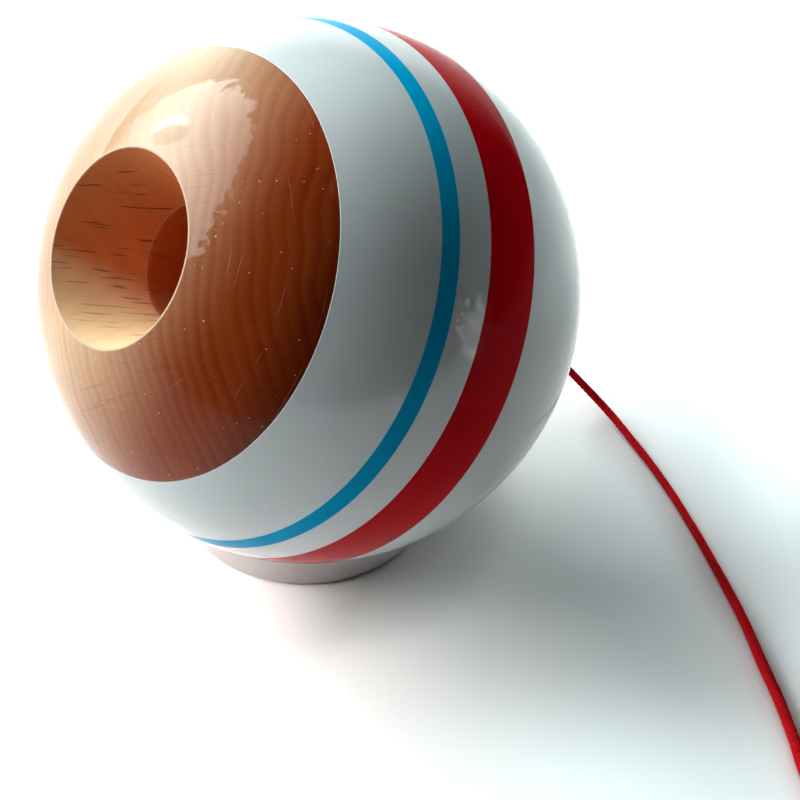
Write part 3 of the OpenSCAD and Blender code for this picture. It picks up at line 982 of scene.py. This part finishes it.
# %% Floor for bounce light
floor_finish, tree, shader = new_finish("floor_white")
tree.nodes.remove(shader)
point = point_in(tree, world_frame)
x_at, y_at = parts(tree, point)[:2]
paper = noise(tree, point, 0.02, detail=3.0)
bounce = mixed(tree, rise(tree, paper, 0.3, 0.7), (0.94, 0.90, 0.89), (0.96, 0.92, 0.91))
front = rise(tree, y_at, -40.0, -200.0)
bounce = mixed(tree, front, bounce, (0.22, 0.185, 0.18))
free = add(tree, "ShaderNodeAmbientOcclusion", {"Distance": 11 * MM}, samples=8).outputs["AO"]
free = calc(tree, "MAXIMUM", free, rise(tree, x_at, -22.0, -42.0))
bounce = mixed(tree, free, (0.1, 0.085, 0.08), bounce)
print(floor_finish.name, len(tree.nodes), "nodes so far")

# %% [markdown]
# ## Floor that shows
# The second colour is for the camera and for reflections. It is brighter than white, so that the sheet
# reads as white while its shadow stays. Painted light makes it warmer on the left, and cooler and brighter
# still at the lower right, where it lightens the shadow. The painted contact shade darkens it too, except
# on the lit side. In reflections the sheet is brighter near the front and ends in a ragged edge.

# %% Floor for the camera and for reflections
rays = add(tree, "ShaderNodeLightPath").outputs
by_camera, by_mirror = rays["Is Camera Ray"], rays["Is Glossy Ray"]
# Painted light: warmer on the left, cooler and brighter at the lower right, lightening the shadow.
white = mixed(tree, rise(tree, x_at, -30.0, 5.0), (1.62, 1.5, 1.46), (1.54, 1.55, 1.55))
painted_light_low_right = times(tree, rise(tree, y_at, -24.0, -40.0), rise(tree, x_at, -30.0, 0.0))
painted_light_low_right = calc(tree, "MAXIMUM", painted_light_low_right, rise(tree, x_at, 8.0, 20.0))
white = mixed(tree, painted_light_low_right, white, (1.95, 2.02, 2.02))
white = mixed(tree, by_mirror, white, (1.5, 1.44, 1.42))
# Painted contact shade next to the object, except on the lit side, as in the bounce colour.
white = mixed(tree, free, (0.25, 0.2, 0.18), white)
near_front = times(tree, rise(tree, y_at, 0.0, -50.0), rise(tree, x_at, -55.0, -35.0))
white = mixed(tree, times(tree, near_front, by_mirror), white, (2.5, 2.45, 2.45))
ragged = scaled(tree, noise(tree, point, 0.02, detail=4.0), 500.0, y_at)
sheet = times(tree, rise(tree, ragged, -130.0, -110.0), rise(tree, x_at, -95.0, -55.0))
shining = calc(tree, "MAXIMUM", calc(tree, "SUBTRACT", 1.0, front), sheet)
seen = calc(tree, "MAXIMUM", by_camera, times(tree, by_mirror, shining))
plain = out(tree, "ShaderNodeBsdfDiffuse", {"Color": bounce})
bright = out(tree, "ShaderNodeBsdfDiffuse", {"Color": white})
whole = out(tree, "ShaderNodeMixShader", {0: seen, 1: plain, 2: bright})
print(floor_finish.name, len(tree.nodes), "nodes so far")

# %% [markdown]
# ## Far floor
# Far away the floor turns into a white backdrop for the camera, and for reflections on the side behind the
# ball. Where the ken stands, reflections see a lit floor instead of the ken's shadow.

# %% Far floor and the floor at the ken
off = measure(tree, "LENGTH", point)
behind = rise(tree, calc(tree, "DIVIDE", y_at, off), 0.72, 0.98)
shown = calc(tree, "MAXIMUM", by_camera, times(tree, by_mirror, behind))
far = times(tree, rise(tree, off, 160.0, 420.0), shown)
level = scaled(tree, by_mirror, 0.8, 1.0)
backdrop = out(tree, "ShaderNodeEmission", {"Color": (1, 1, 1, 1), "Strength": level})
whole = out(tree, "ShaderNodeMixShader", {0: far, 1: whole, 2: backdrop})
from_ken = measure(tree, "DISTANCE", point, ken_foot / MM)
at_ken = times(tree, by_mirror, rise(tree, from_ken, 60.0, 22.0))
lit_floor = out(tree, "ShaderNodeEmission", {"Color": (0.95, 1, 1, 1), "Strength": 0.75})
whole = out(tree, "ShaderNodeMixShader", {0: at_ken, 1: whole, 2: lit_floor})
tree.links.new(whole, tree.nodes["Material Output"].inputs["Surface"])

floor_half = 4
floor_corners = [(x * floor_half, y * floor_half, 0) for x, y in ((-1, -1), (1, -1), (1, 1), (-1, 1))]
floor = placed("floor", shaped("floor", floor_corners, [], [(0, 1, 2, 3)], floor_finish))
print(floor_finish.name, len(tree.nodes), "nodes")

# %% [markdown]
# ## Lamps
# A lamp is a soft rectangle that faces the ball. Two more helpers shape the lamps that only reflections
# see: a ragged outline, as leaves before a window give, and a soft oval.

# %% Lamp helpers
def lamp(name, azimuth, elevation, distance, width, height, watts, colour):
    data = bpy.data.lights.new(name, "AREA")
    data.shape = "RECTANGLE"
    data.size = width
    data.size_y = height
    data.energy = watts
    data.color = colour
    made = placed(name, data)
    a, e = math.radians(azimuth), math.radians(elevation)
    way = Vector((math.cos(a) * math.cos(e), math.sin(a) * math.cos(e), math.sin(e)))
    made.location = ball_mid + way * distance
    made.rotation_mode = "QUATERNION"
    made.rotation_quaternion = way.to_track_quat("Z", "Y")
    made.visible_camera = False
    return made


def only_mirrored(made):
    made.visible_diffuse = False
    made.data.use_nodes = True
    tree = made.data.node_tree
    return tree, add(tree, "ShaderNodeNewGeometry").outputs["Parametric"]


def ragged_sky(tree, spot, scale, share, edge):
    away = measure(tree, "DISTANCE", spot, (0.5, 0.5, 0))
    reach = scaled(tree, noise(tree, spot, scale, detail=5.0, rough=0.65), share, away)
    return calc(tree, "SUBTRACT", 1.0, rise(tree, reach, edge, edge + 0.025))


def oval(tree, spot, middle, size):
    inputs = {"Vector": spot, "Location": (*middle, 0), "Rotation": (0, 0, -0.27), "Scale": (*size, 1)}
    near = out(tree, "ShaderNodeMapping", inputs, vector_type="TEXTURE")
    return calc(tree, "SUBTRACT", 1.0, rise(tree, measure(tree, "LENGTH", near), 0.8, 1.15))


print("lamp helpers ready")

# %% [markdown]
# ## Light
# A window behind the ball on the left and a weak second window behind it on the right light the object, and
# neither shows in reflections. The window's reflection on the wood is a lamp of its own, with a glint and a
# gap. A small dim patch in front on the right stands for something in the room.

# %% Lamps
window = lamp("window", azimuth=157, elevation=32, distance=0.9, width=1.5, height=0.55, watts=22.0,
              colour=(0.90, 1.0, 1.0))
window.visible_glossy = False

shine = lamp("window_shine", azimuth=160, elevation=31, distance=0.9, width=1.5, height=1.2, watts=120.0,
             colour=(1.0, 1.0, 1.0))
tree, spot = only_mirrored(shine)
up = parts(tree, spot)[1]
level = scaled(tree, rise(tree, up, 0.1, 0.65), 0.4, 0.12)
level = scaled(tree, rise(tree, up, 0.75, 1.0), -0.2, level)
sky = times(tree, ragged_sky(tree, spot, scale=9.0, share=0.45, edge=0.68), level)
glint = oval(tree, spot, middle=(0.268, 0.465), size=(0.042, 0.095))
sky = scaled(tree, glint, 0.7, sky)
gap = oval(tree, spot, middle=(0.325, 0.495), size=(0.048, 0.107))
sky = times(tree, sky, scaled(tree, gap, -0.8, 1.0))
tree.links.new(sky, tree.nodes["Emission"].inputs["Strength"])

second = lamp("second_window", azimuth=44, elevation=15, distance=0.9, width=0.6, height=0.4, watts=2.8,
              colour=(0.76, 1.0, 1.0))
second.visible_glossy = False

room_shine = lamp("room_shine", azimuth=-21, elevation=4.0, distance=0.3, width=0.1, height=0.12, watts=0.2,
                  colour=(1.0, 1.0, 0.97))
tree, spot = only_mirrored(room_shine)
patch = ragged_sky(tree, spot, scale=5.5, share=1.6, edge=1.2)
level = times(tree, patch, noise(tree, spot, 7.0))
tree.links.new(level, tree.nodes["Emission"].inputs["Strength"])
for made in (window, shine, second, room_shine):
    print(made.name, round(made.data.energy, 2), "W")

# %% [markdown]
# ## Surroundings
# The room is dim and cool. It is a little brighter towards the window and near the horizon. Reflections
# also see a bright wall behind the ball, and the camera sees plain white.

# %% Surroundings
world = bpy.data.worlds.new("room")
world.use_nodes = True
scene.world = world
tree = world.node_tree
way = add(tree, "ShaderNodeTexCoord").outputs["Generated"]
window_turn = math.radians(150)
window_way = (math.cos(window_turn) * 0.8, math.sin(window_turn) * 0.8, 0.6)
facing = measure(tree, "DOT_PRODUCT", way, window_way)
shade = mixed(tree, rise(tree, facing, 0.0, 1.0), (0.004, 0.004, 0.004), (0.05, 0.053, 0.053))
rays = add(tree, "ShaderNodeLightPath").outputs
back, up = parts(tree, way)[1:]
glow = calc(tree, "SUBTRACT", 1.0, rise(tree, up, 0.0, 0.3))
shade = mixed(tree, times(tree, glow, 0.15), shade, (0.16, 0.165, 0.165))
wall = times(tree, rise(tree, back, 0.72, 0.98), rise(tree, up, 0.4, 0.05))
shade = mixed(tree, times(tree, wall, rays["Is Glossy Ray"]), shade, (1.75, 1.8, 1.85))
shown = mixed(tree, rays["Is Camera Ray"], shade, (1.0, 1.0, 1.0))
tree.links.new(shown, tree.nodes["Background"].inputs["Color"])
scene.view_settings.view_transform = "Standard"
print(world.name, len(tree.nodes), "nodes")
